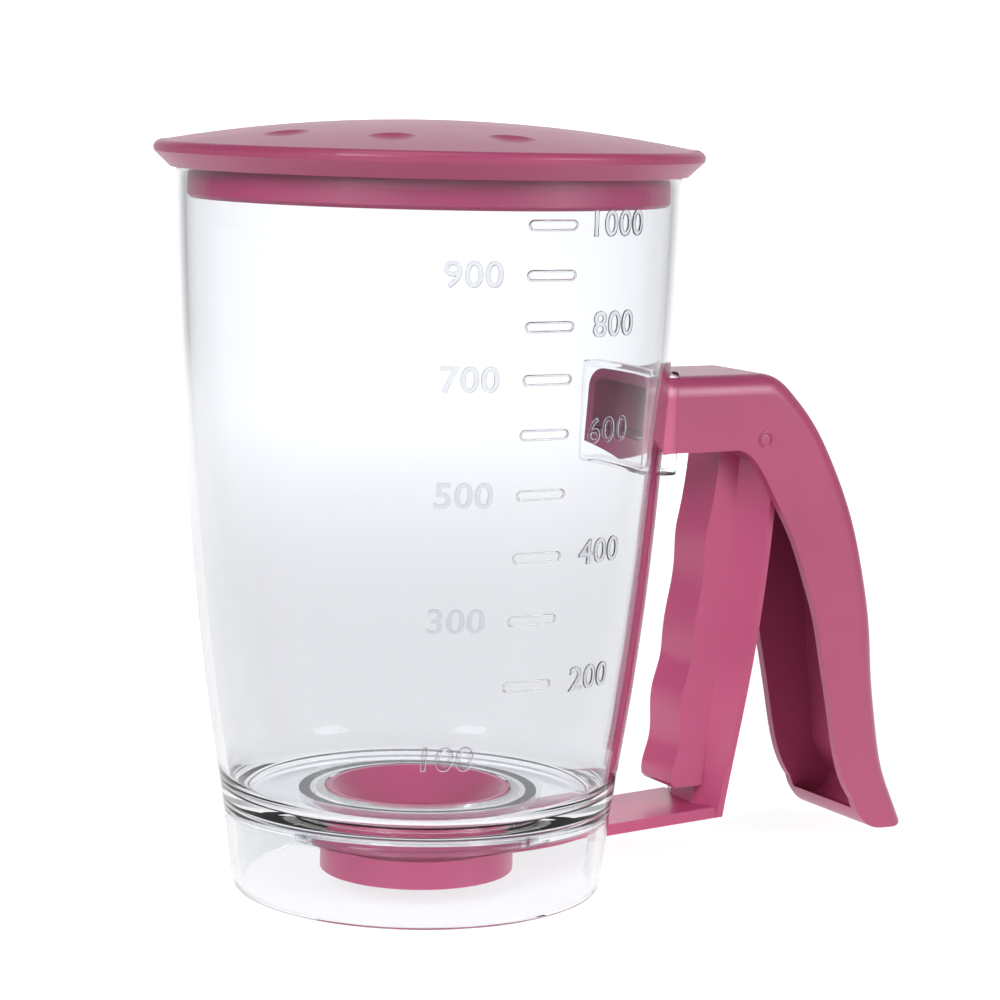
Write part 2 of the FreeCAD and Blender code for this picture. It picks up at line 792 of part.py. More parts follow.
pan_pad.setExpression("Length", ref("pan_top") + " - " + ref("foot_low"))
pan_rim = val("pan_radius") - val("pan_wall")
pan_roof = pan_top - val("pan_wall")
hollow_pan = new_sketch(lever_body, "pan_hollow", "XZ_Plane")
polygon(hollow_pan, [
    (0.0, fl - 1.0),
    (pan_rim, fl - 1.0),
    (pan_rim - 0.6, pan_roof),
    (0.0, pan_roof),
])
pan_cut = lever_body.newObject("PartDesign::Groove", "pan_hollow_cut")
pan_cut.Profile = hollow_pan
pan_cut.ReferenceAxis = (hollow_pan, ["V_Axis"])
pan_cut.Angle = 360.0

# Hub ears round the pin; the spring's room is left on the +Y side
hub = new_sketch(lever_body, "hub_outline", "XZ_Plane")
hub_r = val("hub_radius")
hub.addGeometry(Part.Circle(V(px, pz, 0), V(0, 0, 1), hub_r), False)
hub_pad = pad(lever_body, "hub_pad", hub, "2 * " + ref("lever_half"))
room = new_sketch(lever_body, "spring_room", "XZ_Plane", 0.0)
polygon(room, [
    (px - 3.9, pz - 7.2),
    (px + 9.0, pz - 7.2),
    (px + 9.0, pz + 7.0),
    (px - 3.9, pz + 7.0),
])
room_cut = lever_body.newObject("PartDesign::Pocket", "spring_room_cut")
room_cut.Profile = room
room_cut.Midplane = True
room_cut.Length = 14.0
room_cut.setExpression("Length", ref("spring_room"))
lever_bore = new_sketch(lever_body, "lever_bore_circle", "XZ_Plane")
bore_r = val("pin_radius") + val("pin_play")
lever_bore.addGeometry(Part.Circle(V(px, pz, 0), V(0, 0, 1), bore_r), False)
lever_cut = lever_body.newObject("PartDesign::Pocket", "lever_bore")
lever_cut.Profile = lever_bore
lever_cut.Midplane = True
lever_cut.Length = 60.0
lever_body.Label = "trigger_lever"
doc.recompute()

# Valve disc with a low cone that enters the outlet
disc_body = new_body("disc_solid")
sk = new_sketch(disc_body, "disc_profile", "XZ_Plane")
disc_r = val("disc_radius")
disc_low = pan_top
disc_top = disc_low + val("disc_thick")
plug_r = val("plug_radius")
plug_h = val("plug_height")
polygon(sk, [
    (0.0, disc_low),
    (disc_r, disc_low),
    (disc_r, disc_top - 0.4),
    (disc_r - 0.4, disc_top),
    (plug_r, disc_top),
    (plug_r - 1.6 * plug_h + 0.6, disc_top + plug_h),
    (0.0, disc_top + plug_h),
])
revolve(disc_body, "disc_turn", sk)
disc_body.Label = "valve_disc"

# Valve seal: soft ring between the disc and the nozzle's outlet
seal_body = new_body("seal_solid")
sk = new_sketch(seal_body, "seal_profile", "XZ_Plane")
seal_top = disc_top + val("seal_thick")
seal_in = plug_r + 0.25
seal_out = val("outlet_radius") + val("nozzle_wall") + 2.0
polygon(sk, [
    (seal_in, disc_top),
    (seal_out, disc_top),
    (seal_out, seal_top),
    (seal_in, seal_top),
])
revolve(seal_body, "seal_turn", sk)
seal_body.Label = "valve_seal"

# Nozzle: funnel mouth, outlet tube and an outer threaded ring
nozzle_body = new_body("nozzle_solid")
sk = new_sketch(nozzle_body, "nozzle_profile", "XZ_Plane")
mouth = val("mouth_radius")
out_r = val("outlet_radius")
nb = val("nozzle_bottom")
nw = val("nozzle_wall")
throat = val("throat_height")
gap = val("fit_gap")
rim_out = hole - gap
gasket = val("gasket_thick")
shoulder = floor_low - gasket
relief = val("thread_relief")
core_r = collar_in - gap - relief
polygon(sk, [
    (out_r, nb),
    (out_r + nw, nb),
    (out_r + nw, throat - 0.6),
    (core_r - 2.0, shoulder - 2.6),
    (core_r - 2.0, collar_low),
    (core_r - 1.6, collar_low - 0.4),
    (core_r, collar_low - 0.4),
    (core_r, shoulder),
    (rim_out, shoulder),
    (rim_out, floor_top),
    (mouth, floor_top),
    (out_r, throat),
])
revolve(nozzle_body, "nozzle_turn", sk)
rib = new_sketch(nozzle_body, "thread_section", "XZ_Plane")
pitch = val("thread_pitch")
z0 = collar_low + 1.2
polygon(rib, [
    (core_r - 0.3, z0),
    (core_r - 0.3, z0 + 0.62 * pitch),
    (core_r + relief, z0 + 0.42 * pitch),
    (core_r + relief, z0 + 0.2 * pitch),
])
thread = nozzle_body.newObject("PartDesign::AdditiveHelix", "thread")
thread.Profile = rib
thread.ReferenceAxis = (rib, ["V_Axis"])
thread.Mode = 0
thread.setExpression("Pitch", ref("thread_pitch"))
thread.Height = 1.4 * pitch
thread.setExpression("Height", ref("thread_turns") + " * " + ref("thread_pitch"))
nozzle_body.Label = "nozzle"

# Gasket between the nozzle's shoulder and the floor
gasket_body = new_body("gasket_solid")
sk = new_sketch(gasket_body, "gasket_profile", "XZ_Plane")
polygon(sk, [
    (hole + 0.1, shoulder),
    (core_r, shoulder),
    (core_r, floor_low),
    (hole + 0.1, floor_low),
])
revolve(gasket_body, "gasket_turn", sk)
gasket_body.Label = "nozzle_gasket"
doc.recompute()

# Return spring: torsion coil round the pin, one leg on the arm, one leg in the lever
wire = val("spring_wire")
coil_r = val("spring_radius")
turns = val("spring_turns")
s_pitch = val("spring_pitch")
coil_len = turns * s_pitch


def coil_point(share):
    angle = math.radians(-90.0) - 2.0 * math.pi * turns * share
    return V(px + coil_r * math.cos(angle), -0.5 * coil_len + coil_len * share, pz + coil_r * math.sin(angle))


def coil_tangent(share):
    angle = math.radians(-90.0) - 2.0 * math.pi * turns * share
    across = V(math.sin(angle), 0, -math.cos(angle)) * (coil_r * 2.0 * math.pi * turns)
    return (across + V(0, coil_len, 0)).normalize()


steps = int(round(turns * 4))
edges = []
for i in range(steps):
    a = coil_point(i / steps)
    m = coil_point((i + 0.5) / steps)
    b = coil_point((i + 1) / steps)
    edges.append(Part.Arc(a, m, b).toShape())
coil_wire = Part.Wire(edges)
start = coil_point(0.0)
direction = coil_tangent(0.0)
ring = Part.Circle(start, direction, 0.5 * wire)
spring_shape = coil_wire.makePipeShell([Part.Wire([ring.toShape()])], True, False)
spring = doc.addObject("Part::Feature", "return_spring")
spring.Shape = spring_shape
doc.recompute()

NODES = {
    "cup": cup,
    "lid": lid,
    "handle_shell": handle,
    "pivot_pin": pin,
    "trigger_lever": lever_body,
    "valve_disc": disc_body,
    "valve_seal": seal_body,
    "nozzle": nozzle_body,
    "nozzle_gasket": gasket_body,
    "return_spring": spring,
}
for name, obj in NODES.items():
    obj.Label = name

failed = []
for obj in doc.Objects:
    if any(word in obj.State for word in ("Invalid", "Error")):
        failed.append(obj.Name)
for name, obj in NODES.items():
    shape = obj.Shape
    if shape.isNull():
        failed.append(name + ": null shape")
        continue
    if not shape.isValid() or len(shape.Solids) != 1:
        failed.append("%s: valid %s, solids %d" % (name, shape.isValid(), len(shape.Solids)))
    box = shape.BoundBox
    print("%-14s volume %9.1f  x %7.2f %7.2f  y %7.2f %7.2f  z %7.2f %7.2f" % (
        name, shape.Volume, box.XMin, box.XMax, box.YMin, box.YMax, box.ZMin, box.ZMax))
if failed:
    raise RuntimeError("not built: " + "; ".join(failed))

os.makedirs("parts", exist_ok=True)
for name, obj in NODES.items():
    obj.Shape.exportStep(os.path.join("parts", name + ".step"))
print("written", len(NODES))
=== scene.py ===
import bpy
import bmesh
import math
from mathutils import Vector, Matrix


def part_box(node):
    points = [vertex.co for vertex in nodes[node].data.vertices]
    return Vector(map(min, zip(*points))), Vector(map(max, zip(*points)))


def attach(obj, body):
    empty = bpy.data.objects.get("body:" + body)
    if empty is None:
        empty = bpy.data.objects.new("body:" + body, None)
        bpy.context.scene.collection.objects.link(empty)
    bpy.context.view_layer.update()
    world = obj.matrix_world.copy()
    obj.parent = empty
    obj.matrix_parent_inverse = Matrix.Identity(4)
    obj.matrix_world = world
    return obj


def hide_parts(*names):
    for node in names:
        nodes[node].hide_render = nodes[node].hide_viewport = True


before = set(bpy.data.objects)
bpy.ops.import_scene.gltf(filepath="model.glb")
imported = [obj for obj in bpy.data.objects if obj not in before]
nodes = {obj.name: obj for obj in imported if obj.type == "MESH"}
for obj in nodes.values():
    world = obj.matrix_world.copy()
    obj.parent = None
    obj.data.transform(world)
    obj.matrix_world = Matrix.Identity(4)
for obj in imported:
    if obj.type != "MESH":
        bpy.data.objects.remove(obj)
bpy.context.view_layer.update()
MM = 0.001

# Lengths are in millimetres, unless a comment says metres.

# Cup: wall line as (height, outer radius), then wall, rim, floor and the floor's hole
STATIONS = [(0.0, 41.8), (19.93, 44.3), (45.04, 48.0), (69.98, 50.9),
            (94.93, 53.0), (120.04, 54.65), (144.99, 55.6), (162.0, 55.9)]
WALL = 2.2
RIM = 162.0
RIM_ROUND = 0.5 * WALL
FLOOR_TOP = 22.4
FLOOR_LOW = 20.2
HOLE = 20.9
HOLE_CHAMFER = 0.3
HOLE_LAND = 8.0
INNER_FILLET = 6.0
INNER_SET = 5.6
OUTER_FILLET = 3.5
OUTER_SET = 3.4
FOOT_ROUND = 1.0
CUP_STEPS = 288

# Notch in the skirt, as the corners of the block that cuts it
NOTCH_LOW = (30, -13.2, -6)
NOTCH_HIGH = (60, 13.2, 15)

# Collar under the floor
COLLAR_IN = 24.5
COLLAR_OUT = 27.0
COLLAR_LOW = 12.4
COLLAR_CHAMFER = 0.4
COLLAR_ROUND = 0.8
FINE_STEPS = 192

# Handle socket: corners of the frame, of the window in it and of the tongue inside
SOCKET_LOW = (50.5, -16.15, 92.6)
SOCKET_HIGH = (57.1, 16.15, 116.55)
SOCKET_BEVEL = 1.0
WINDOW_LOW = (40, -14.65, 93.95)
WINDOW_HIGH = (70, 14.65, 115.05)
TONGUE_LOW = (50.5, -12.15, 100.9)
TONGUE_HIGH = (60.9, 12.15, 112.35)
TONGUE_BEVEL = 1.2
ROOT_DEPTH = 0.8

# Scale: a bar lies at its share of the way from the lowest bar to the highest
MARKS = [1000, 900, 800, 700, 600, 500, 400, 300, 200]
SHARES = [1.0, 0.8941, 0.7847, 0.6720, 0.5539, 0.4231, 0.2861, 0.1468, 0.0]
BAR_LOW = 54.4
BAR_HIGH = 151.95
BAR_LENGTH = 11.2
BAR_HEIGHT = 1.9
BEAD_WIDTH = 0.55
BEAD_RISE = 0.3

# Numerals: those on the right are listed, and the lowest has no bar
RIGHT_MARKS = (1000, 800, 600, 400, 200)
LOWEST_MARK = 100
LOWEST_HEIGHT = 38.6
DIGIT_SIZE = 7.6
DIGIT_DEPTH = 0.12
DIGIT_STRETCH = 1.08
DIGIT_SIDE = 17.2

# Pin ends: (radius, height) outline of a low dome with a fine bead round it
PIN_END = [(0.0001, 0.2), (0.8, 0.19), (1.35, 0.12), (1.42, -0.02), (1.52, -0.02), (1.6, 0.2),
           (1.75, 0.26), (1.9, 0.2), (1.95, 0.0), (1.95, -0.2), (0.0001, -0.2)]
PIN_STEPS = 72
PIN_PROUD = 0.05

# Noise scales of the plastics
GRAIN_SCALE = 900.0
FLOW_SCALE = 14.0
FLOW_BUMP = 0.05

# Floor sheet, in metres, turned square to the camera by LEAN
SHEET_SIDE = 2.0
SHEET_FRONT = -2.0
CURVE_START = 0.9
CURVE_RADIUS = 0.3
CURVE_STEPS = 8
SHEET_TOP = 1.0
SHEET_DROP = 0.0002
LEAN = math.radians(-29.05)

# Camera at the photograph's place: angles in degrees, distance and height in metres
CAMERA_ROUND = 27.55
CAMERA_YAW = 1.496
CAMERA_PITCH = 8.017
CAMERA_ROLL = 1.34
CAMERA_DISTANCE = 0.65875
CAMERA_HEIGHT = 0.18072
FOCAL_PIXELS = 2962.73
PHOTO_PIXELS = 1000.0
SENSOR = 36.0


def wall_radius(z):
    n = len(STATIONS)
    i = 0
    while i < n - 2 and z > STATIONS[i + 1][0]:
        i += 1
    z1, r1 = STATIONS[i]
    z2, r2 = STATIONS[i + 1]
    z0, r0 = STATIONS[max(i - 1, 0)]
    z3, r3 = STATIONS[min(i + 2, n - 1)]
    m1 = (r2 - r0) / (z2 - z0)
    m2 = (r3 - r1) / (z3 - z1)
    h = z2 - z1
    t = (z - z1) / h
    a = 2 * t ** 3 - 3 * t ** 2 + 1
    b = t ** 3 - 2 * t ** 2 + t
    c = -2 * t ** 3 + 3 * t ** 2
    d = t ** 3 - t ** 2
    return a * r1 + b * h * m1 + c * r2 + d * h * m2


def run(z0, z1, offset, count):
    pts = []
    for i in range(count + 1):
        z = z0 + (z1 - z0) * i / count
        pts.append((wall_radius(z) + offset, z))
    return pts


def bend(centre, radius, a0, a1, count=6):
    # arc points from angle a0 to a1, degrees
    pts = []
    for i in range(count + 1):
        a = math.radians(a0 + (a1 - a0) * i / count)
        pts.append((centre[0] + radius * math.cos(a), centre[1] + radius * math.sin(a)))
    return pts


def new_object(name, bm, smooth=True):
    mesh = bpy.data.meshes.new(name)
    bm.to_mesh(mesh)
    bm.free()
    if smooth:
        for p in mesh.polygons:
            p.use_smooth = True
    ob = bpy.data.objects.new(name, mesh)
    bpy.context.scene.collection.objects.link(ob)
    return ob


def lathe(name, profile, steps):
    # turns a closed outline of (radius, height) round the Z axis
    bm = bmesh.new()
    rings = []
    for k in range(steps):
        a = 2 * math.pi * k / steps
        ring = []
        for r, z in profile:
            ring.append(bm.verts.new((r * MM * math.cos(a), r * MM * math.sin(a), z * MM)))
        rings.append(ring)
    n = len(profile)
    for k in range(steps):
        here = rings[k]
        there = rings[(k + 1) % steps]
        for j in range(n):
            jn = (j + 1) % n
            bm.faces.new((here[j], there[j], there[jn], here[jn]))
    bmesh.ops.remove_doubles(bm, verts=bm.verts, dist=1e-7)
    bmesh.ops.recalc_face_normals(bm, faces=bm.faces)
    return new_object(name, bm)


def block(name, low, high, bevel=0.0):
    bm = bmesh.new()
    bmesh.ops.create_cube(bm, size=1.0)
    for v in bm.verts:
        for i in range(3):
            v.co[i] = ((low[i] + high[i]) / 2 + v.co[i] * (high[i] - low[i])) * MM
    if bevel:
        bmesh.ops.bevel(bm, geom=bm.edges[:], offset=bevel * MM, segments=4, profile=0.5,
                        affect="EDGES")
    return new_object(name, bm, smooth=False)


def apply_modifiers(ob):
    dg = bpy.context.evaluated_depsgraph_get()
    mesh = bpy.data.meshes.new_from_object(ob.evaluated_get(dg))
    ob.modifiers.clear()
    ob.data = mesh


def cut(ob, tool):
    m = ob.modifiers.new("cut", "BOOLEAN")
    m.operation = "DIFFERENCE"
    m.solver = "EXACT"
    m.object = tool
    apply_modifiers(ob)
    bpy.data.objects.remove(tool)


def sharp_smooth(ob, angle=30.0):
    for p in ob.data.polygons:
        p.use_smooth = True
    ob.data.set_sharp_from_angle(angle=math.radians(angle))


# Materials
def material(name):
    m = bpy.data.materials.new(name)
    m.use_nodes = True
    nt = m.node_tree
    return m, nt, nt.nodes["Principled BSDF"]


def add(nt, kind, **values):
    n = nt.nodes.new(kind)
    for k, v in values.items():
        n.inputs[k.replace("_", " ")].default_value = v
    return n


def moulded(name, dark, light, rough, bump=0.03, coat=0.35):
    # moulded plastic: faint colour drift, fine orange-peel grain, uneven gloss
    m, nt, b = material(name)
    co = nt.nodes.new("ShaderNodeTexCoord")
    drift = add(nt, "ShaderNodeTexNoise", Scale=28.0, Detail=3.0, Roughness=0.55)
    nt.links.new(co.outputs["Object"], drift.inputs["Vector"])
    ramp = nt.nodes.new("ShaderNodeValToRGB")
    ramp.color_ramp.elements[0].position = 0.3
    ramp.color_ramp.elements[1].position = 0.7
    ramp.color_ramp.elements[0].color = (*dark, 1)
    ramp.color_ramp.elements[1].color = (*light, 1)
    nt.links.new(drift.outputs["Fac"], ramp.inputs["Fac"])
    nt.links.new(ramp.outputs["Color"], b.inputs["Base Color"])
    grain = add(nt, "ShaderNodeTexNoise", Scale=GRAIN_SCALE, Detail=4.0, Roughness=0.6)
    nt.links.new(co.outputs["Object"], grain.inputs["Vector"])
    bp = add(nt, "ShaderNodeBump", Strength=bump, Distance=0.0002)
    nt.links.new(grain.outputs["Fac"], bp.inputs["Height"])
    nt.links.new(bp.outputs["Normal"], b.inputs["Normal"])
    blot = add(nt, "ShaderNodeTexNoise", Scale=90.0, Detail=2.0)
    nt.links.new(co.outputs["Object"], blot.inputs["Vector"])
    mr = add(nt, "ShaderNodeMapRange", To_Min=rough - 0.03, To_Max=rough + 0.04)
    nt.links.new(blot.outputs["Fac"], mr.inputs["Value"])
    nt.links.new(mr.outputs["Result"], b.inputs["Roughness"])
    b.inputs["IOR"].default_value = 1.5
    b.inputs["Coat Weight"].default_value = coat
    b.inputs["Coat Roughness"].default_value = 0.3
    b.inputs["Subsurface Weight"].default_value = 0.06
    b.inputs["Subsurface Radius"].default_value = (0.004, 0.0015, 0.002)
    b.inputs["Subsurface Scale"].default_value = 1.0
    return m


def clear(name, tint, rough, index):
    # clear moulding with faint flow lines; the index is below the real plastic's
    m, nt, b = material(name)
    b.inputs["Base Color"].default_value = (*tint, 1)
    b.inputs["Transmission Weight"].default_value = 1.0
    b.inputs["IOR"].default_value = index
    co = nt.nodes.new("ShaderNodeTexCoord")
    flow = add(nt, "ShaderNodeTexNoise", Scale=FLOW_SCALE, Detail=2.0)
    mp = add(nt, "ShaderNodeMapping")
    mp.inputs["Scale"].default_value = (1.0, 1.0, 0.25)
    nt.links.new(co.outputs["Object"], mp.inputs["Vector"])
    nt.links.new(mp.outputs["Vector"], flow.inputs["Vector"])
    bp = add(nt, "ShaderNodeBump", Strength=FLOW_BUMP, Distance=0.0004)
    nt.links.new(flow.outputs["Fac"], bp.inputs["Height"])
    nt.links.new(bp.outputs["Normal"], b.inputs["Normal"])
    mr = add(nt, "ShaderNodeMapRange", To_Min=rough, To_Max=rough + 0.03)
    nt.links.new(flow.outputs["Fac"], mr.inputs["Value"])
    nt.links.new(mr.outputs["Result"], b.inputs["Roughness"])
    return m


rasp = moulded("raspberry_plastic", (0.315, 0.042, 0.112), (0.355, 0.05, 0.127), 0.36, coat=0.2)
rasp_lid = moulded("raspberry_lid", (0.285, 0.036, 0.1), (0.325, 0.042, 0.113), 0.38, coat=0.15)
rasp_lever = moulded("raspberry_lever", (0.33, 0.036, 0.112), (0.37, 0.043, 0.127), 0.32, coat=0.2)
rasp_pin = moulded("raspberry_pin", (0.33, 0.04, 0.115), (0.37, 0.045, 0.13), 0.4)
silicone = moulded("silicone", (0.62, 0.6, 0.58), (0.72, 0.7, 0.68), 0.5, bump=0.05)
# the clear plastic's grey-blue tint is partly its own cast and partly painted shade that greys
# what is seen through the cup
san = clear("clear_plastic", (0.84, 0.848, 0.868), 0.0, 1.3)
san_soft = clear("clear_socket", (0.985, 0.985, 0.99), 0.07, 1.09)
steel = moulded("spring_wire", (0.45, 0.46, 0.48), (0.6, 0.61, 0.63), 0.3)
steel.node_tree.nodes["Principled BSDF"].inputs["Metallic"].default_value = 1.0


for name, mat in (("handle_shell", rasp), ("trigger_lever", rasp_lever), ("nozzle", rasp),
                  ("valve_disc", rasp), ("pivot_pin", rasp_pin), ("valve_seal", silicone),
                  ("nozzle_gasket", silicone), ("return_spring", steel), ("lid", rasp_lid)):
    for s in nodes[name].material_slots:
        s.material = mat

# Clear cup: one closed outline, from the floor's hole up the inside, over the rim, down the
# outside, round the foot and up to the floor's underside
profile = [(HOLE, FLOOR_LOW), (HOLE, FLOOR_TOP - HOLE_CHAMFER), (HOLE + HOLE_CHAMFER, FLOOR_TOP)]
profile += [(HOLE + HOLE_LAND, FLOOR_TOP)]
inner_radius = wall_radius(FLOOR_TOP + 3.0) - WALL
profile += bend((inner_radius - INNER_SET, FLOOR_TOP + INNER_FILLET), INNER_FILLET, -90, -8, 14)
profile += run(FLOOR_TOP + 7.0, RIM - 1.1, -WALL, 60)
profile += bend((wall_radius(RIM) - RIM_ROUND, RIM - RIM_ROUND), RIM_ROUND, 180, 0, 10)[1:]
profile += run(RIM - 1.3, 1.2, 0.0, 72)
profile += bend((wall_radius(0.0) - FOOT_ROUND, FOOT_ROUND), FOOT_ROUND, 0, -180, 10)
profile += run(1.3, FLOOR_LOW - 4.0, -WALL, 10)
outer_height = FLOOR_LOW - OUTER_FILLET
outer_radius = wall_radius(outer_height) - WALL - OUTER_SET
profile += bend((outer_radius, outer_height), OUTER_FILLET, 6, 90, 8)
cup = lathe("cup_clear", profile, CUP_STEPS)
cut(cup, block("notch_tool", NOTCH_LOW, NOTCH_HIGH))
sharp_smooth(cup)

profile = [(COLLAR_IN, COLLAR_LOW + COLLAR_CHAMFER), (COLLAR_IN + COLLAR_CHAMFER, COLLAR_LOW)]
profile += bend((COLLAR_OUT - COLLAR_ROUND, COLLAR_LOW + COLLAR_ROUND), COLLAR_ROUND, -90, 0, 5)
profile += [(COLLAR_OUT, FLOOR_LOW), (COLLAR_IN, FLOOR_LOW)]
collar = lathe("collar_clear", profile, FINE_STEPS)
sharp_smooth(collar)


def wall_core(name):
    # the inside of the cup near the socket, up to ROOT_DEPTH under the wall's outer face
    outline = [(0.0001, 80), (wall_radius(80) - ROOT_DEPTH, 80)]
    outline += run(82, 128, -ROOT_DEPTH, 10)
    outline += [(0.0001, 130)]
    return lathe(name, outline, FINE_STEPS)


# Socket frame and tongue on the wall
frame_ring = block("socket_clear", SOCKET_LOW, SOCKET_HIGH, SOCKET_BEVEL)
cut(frame_ring, block("window_tool", WINDOW_LOW, WINDOW_HIGH))
cut(frame_ring, wall_core("socket_tool"))
sharp_smooth(frame_ring)
tongue = block("tongue_clear", TONGUE_LOW, TONGUE_HIGH, TONGUE_BEVEL)
cut(tongue, wall_core("tongue_tool"))
sharp_smooth(tongue)


# Scale: rounded bars and plain numerals, raised on the wall
def wrap(ob, lift):
    # lays a flat drawing (x right, z up, y out) on the wall's -Y side
    for v in ob.data.vertices:
        x, y, z = v.co.x / MM, v.co.y / MM, v.co.z / MM
        r = wall_radius(z) + lift + y
        a = x / wall_radius(z)
        v.co = Vector((r * math.sin(a), -r * math.cos(a), z)) * MM


def bar_outline(length, height, count=8):
    r = height / 2
    h = length / 2 - r
    pts = []
    for i in range(count + 1):
        a = math.radians(-90 + 180 * i / count)
        pts.append((h + r * math.cos(a), r * math.sin(a)))
    for i in range(count + 1):
        a = math.radians(90 + 180 * i / count)
        pts.append((-h + r * math.cos(a), r * math.sin(a)))
    return pts


def ribbon(name, outline, centre, width, height):
    # a raised rounded line that follows a closed outline
    bm = bmesh.new()
    n = len(outline)
    rings = []
    for i in range(n):
        p0 = Vector(outline[i - 1])
        p1 = Vector(outline[i])
        p2 = Vector(outline[(i + 1) % n])
        t = (p2 - p0).normalized()
        nrm = Vector((t.y, -t.x))
        ring = []
        for s, h in ((-1, -0.25), (-0.7, 0.7), (0, 1.0), (0.7, 0.7), (1, -0.25)):
            q = p1 + nrm * s * width / 2
            at = ((centre[0] + q.x) * MM, (h * height) * MM, (centre[1] + q.y) * MM)
            ring.append(bm.verts.new(at))
        rings.append(ring)
    for i in range(n):
        a = rings[i]
        b = rings[(i + 1) % n]
        for j in range(5):
            bm.faces.new((a[j], b[j], b[(j + 1) % 5], a[(j + 1) % 5]))
    bmesh.ops.recalc_face_normals(bm, faces=bm.faces)
    return new_object(name, bm)


def mark_height(value):
    if value == LOWEST_MARK:
        return LOWEST_HEIGHT
    return BAR_LOW + SHARES[MARKS.index(value)] * (BAR_HIGH - BAR_LOW)


scale_parts = []
for value in MARKS:
    outline = bar_outline(BAR_LENGTH, BAR_HEIGHT)
    ob = ribbon("bar_%d" % value, outline, (0.0, mark_height(value)), BEAD_WIDTH, BEAD_RISE)
    wrap(ob, 0.0)
    scale_parts.append(ob)
for value in MARKS + [LOWEST_MARK]:
    z = mark_height(value)
    font = bpy.data.curves.new("digits_%d" % value, "FONT")
    font.body = str(value)
    font.size = DIGIT_SIZE * MM
    font.align_x = "CENTER"
    font.align_y = "CENTER"
    font.extrude = DIGIT_DEPTH * MM
    font.bevel_depth = DIGIT_DEPTH * MM
    font.bevel_resolution = 1
    font.resolution_u = 4
    font.space_character = 1.05
    tmp = bpy.data.objects.new("digits_tmp", font)
    bpy.context.scene.collection.objects.link(tmp)
    dg = bpy.context.evaluated_depsgraph_get()
    mesh = bpy.data.meshes.new_from_object(tmp.evaluated_get(dg))
    bpy.data.objects.remove(tmp)
    ob = bpy.data.objects.new("digits_%d" % value, mesh)
    bpy.context.scene.collection.objects.link(ob)
    side = 1 if value in RIGHT_MARKS else -1
    for v in mesh.vertices:
        x, y, zz = v.co
        v.co = Vector((x * DIGIT_STRETCH + side * DIGIT_SIDE * MM, zz, y + z * MM))
    for p in mesh.polygons:
        p.use_smooth = True
    wrap(ob, 0.0)
    scale_parts.append(ob)

for ob in [cup, collar, frame_ring, tongue] + scale_parts:
    ob.data.materials.clear()
    ob.data.materials.append(san_soft if ob in (frame_ring, tongue) else san)
    ob.visible_shadow = False
    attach(ob, "cup")
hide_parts("cup")

# Pin ends on both flanges
pin_low, pin_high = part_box("pivot_pin")
pin_mid = (pin_low + pin_high) / 2
for tag, face in (("near", -1), ("far", 1)):
    end = lathe("pin_end_" + tag, PIN_END, PIN_STEPS)
    sharp_smooth(end, 40.0)
    end.data.materials.append(rasp_pin)
    end.rotation_euler = (-face * math.radians(90), 0, 0)
    y = pin_low.y - PIN_PROUD * MM if face < 0 else pin_high.y + PIN_PROUD * MM
    end.location = (pin_mid.x, y, pin_mid.z)
    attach(end, "cup")

# Floor and backdrop: one pale sheet that runs back and curves up behind
rows = [(SHEET_FRONT, 0.0), (CURVE_START, 0.0)]
for t in range(1, CURVE_STEPS + 1):
    a = t * math.pi / (2 * CURVE_STEPS)
    depth = CURVE_START + CURVE_RADIUS * math.sin(a)
    rows.append((depth, CURVE_RADIUS - CURVE_RADIUS * math.cos(a)))
rows.append((CURVE_START + CURVE_RADIUS, SHEET_TOP))
bm = bmesh.new()
sheet_rows = []
for depth, height in rows:
    line = []
    for side in (-SHEET_SIDE, SHEET_SIDE):
        x = side * math.cos(LEAN) - depth * math.sin(LEAN)
        y = side * math.sin(LEAN) + depth * math.cos(LEAN)
        line.append(bm.verts.new((x, y, height - SHEET_DROP)))
    sheet_rows.append(line)
for i in range(len(sheet_rows) - 1):
    near = sheet_rows[i]
    far = sheet_rows[i + 1]
    bm.faces.new((near[0], near[1], far[1], far[0]))
floor = new_object("floor", bm)
fm, nt, b = material("floor_paper")
b.inputs["Roughness"].default_value = 0.8
b.inputs["Specular IOR Level"].default_value = 0.1
b.inputs["Emission Color"].default_value = (1, 1, 1, 1)
co = nt.nodes.new("ShaderNodeTexCoord")
pn = add(nt, "ShaderNodeTexNoise", Scale=60.0, Detail=4.0)
nt.links.new(co.outputs["Object"], pn.inputs["Vector"])
pr = nt.nodes.new("ShaderNodeValToRGB")
pr.color_ramp.elements[0].color = (0.19, 0.19, 0.195, 1)
pr.color_ramp.elements[1].color = (0.21, 0.21, 0.21, 1)
nt.links.new(pn.outputs["Fac"], pr.inputs["Fac"])
nt.links.new(pr.outputs["Color"], b.inputs["Base Color"])
# painted light: the sheet glows most at one spot behind the cup, as a painted pool of light, and
# fades with distance and to the sides
spot = nt.nodes.new("ShaderNodeVectorMath")
spot.operation = "DISTANCE"
spot.inputs[1].default_value = (0.43, 0.93, 0.05)
nt.links.new(co.outputs["Object"], spot.inputs[0])
glow = add(nt, "ShaderNodeMapRange", From_Min=0.0, From_Max=0.75, To_Min=1.32, To_Max=0.89)
glow.interpolation_type = "SMOOTHSTEP"
nt.links.new(spot.outputs["Value"], glow.inputs["Value"])
across = nt.nodes.new("ShaderNodeVectorMath")
across.operation = "DOT_PRODUCT"
across.inputs[1].default_value = (math.cos(LEAN), math.sin(LEAN), 0.0)
nt.links.new(co.outputs["Object"], across.inputs[0])
sideways = nt.nodes.new("ShaderNodeMath")
sideways.operation = "ABSOLUTE"
nt.links.new(across.outputs["Value"], sideways.inputs[0])
fade = add(nt, "ShaderNodeMapRange", From_Min=0.3, From_Max=0.9, To_Min=1.0, To_Max=0.35)
fade.interpolation_type = "SMOOTHSTEP"
nt.links.new(sideways.outputs["Value"], fade.inputs["Value"])
total = nt.nodes.new("ShaderNodeMath")
total.operation = "MULTIPLY"
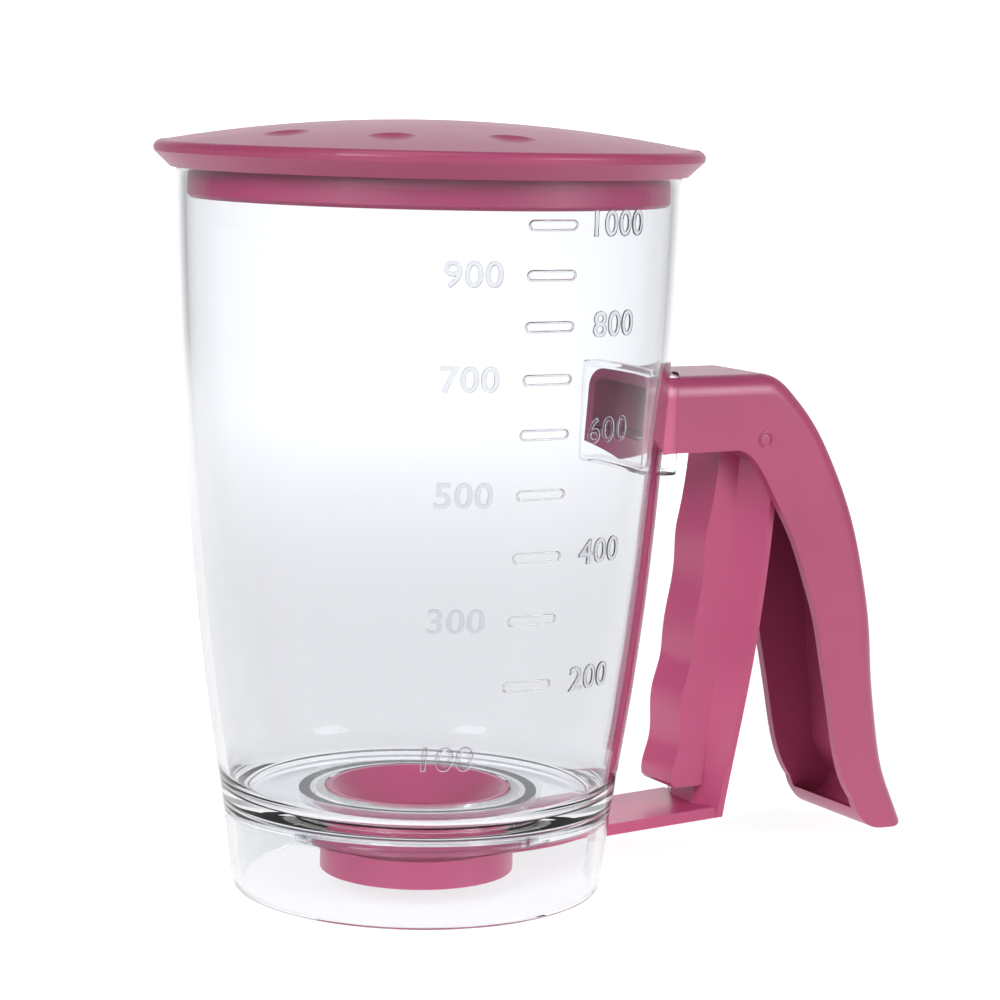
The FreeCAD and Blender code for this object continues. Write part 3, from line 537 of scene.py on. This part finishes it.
nt.links.new(glow.outputs["Result"], total.inputs[0])
nt.links.new(fade.outputs["Result"], total.inputs[1])
nt.links.new(total.outputs["Value"], b.inputs["Emission Strength"])
floor.data.materials.append(fm)

# Surroundings: bright behind the cup, dark to the sides, grey behind the camera
world = bpy.data.worlds.new("studio")
bpy.context.scene.world = world
world.use_nodes = True
wt = world.node_tree
bg = wt.nodes["Background"]
wc = wt.nodes.new("ShaderNodeTexCoord")
# 1 for a level direction straight away from the camera, -1 for one straight towards it
away = wt.nodes.new("ShaderNodeVectorMath")
away.operation = "DOT_PRODUCT"
away.inputs[1].default_value = (0.4869, 0.8735, 0.0)
wt.links.new(wc.outputs["Generated"], away.inputs[0])
ramp = wt.nodes.new("ShaderNodeValToRGB")
ramp.color_ramp.elements[0].position = 0.35
ramp.color_ramp.elements[0].color = (0.42, 0.42, 0.43, 1)
ramp.color_ramp.elements[1].position = 0.975
ramp.color_ramp.elements[1].color = (1.0, 1.0, 1.0, 1)
for position, colour in ((0.55, (0.17, 0.18, 0.20, 1)), (0.86, (0.17, 0.185, 0.21, 1)),
                         (0.94, (0.50, 0.51, 0.53, 1))):
    ramp.color_ramp.elements.new(position).color = colour
half = wt.nodes.new("ShaderNodeMapRange")
half.inputs["From Min"].default_value = -1.0
half.inputs["From Max"].default_value = 1.0
wt.links.new(away.outputs["Value"], half.inputs["Value"])
wt.links.new(half.outputs["Result"], ramp.inputs["Fac"])
wt.links.new(ramp.outputs["Color"], bg.inputs["Color"])
bg.inputs["Strength"].default_value = 1.08


def area(name, place, target, size, power):
    light = bpy.data.lights.new(name, "AREA")
    light.shape = "RECTANGLE"
    light.size = size[0]
    light.size_y = size[1]
    light.energy = power
    ob = bpy.data.objects.new(name, light)
    ob.location = place
    ob.rotation_euler = (Vector(target) - Vector(place)).to_track_quat("-Z", "Y").to_euler()
    bpy.context.scene.collection.objects.link(ob)


# Lamps: place, target and size in metres, power in watts
area("key", (-1.1, -0.55, 0.75), (0.03, 0, 0.08), (0.45, 0.9), 12.0)
area("fill", (0.75, -1.1, 0.6), (0.05, 0, 0.08), (0.5, 0.8), 10.5)
area("top", (-0.2, -0.1, 1.5), (0, 0, 0.05), (0.8, 0.8), 3.0)

# Camera
yaw = math.radians(CAMERA_YAW)
pitch = math.radians(CAMERA_PITCH)
roll = math.radians(CAMERA_ROLL)
fwd = Vector((math.sin(yaw) * math.cos(pitch), math.cos(yaw) * math.cos(pitch), -math.sin(pitch)))
right = Vector((math.cos(yaw), -math.sin(yaw), 0))
up = right.cross(fwd)
rolled_right = right * math.cos(roll) + up * math.sin(roll)
rolled_up = up * math.cos(roll) - right * math.sin(roll)
turn = Matrix.Rotation(-math.radians(CAMERA_ROUND), 3, "Z")
basis = Matrix((turn @ rolled_right, turn @ rolled_up, turn @ (-fwd))).transposed()
camera = bpy.data.cameras.new("camera")
camera.lens = FOCAL_PIXELS * SENSOR / PHOTO_PIXELS
camera.sensor_width = SENSOR
camera.clip_start = 0.01
cam = bpy.data.objects.new("camera", camera)
place = Matrix.Translation(turn @ Vector((0, -CAMERA_DISTANCE, CAMERA_HEIGHT)))
cam.matrix_world = place @ basis.to_4x4()
bpy.context.scene.collection.objects.link(cam)
bpy.context.scene.camera = cam

bpy.context.scene.view_settings.view_transform = "Standard"
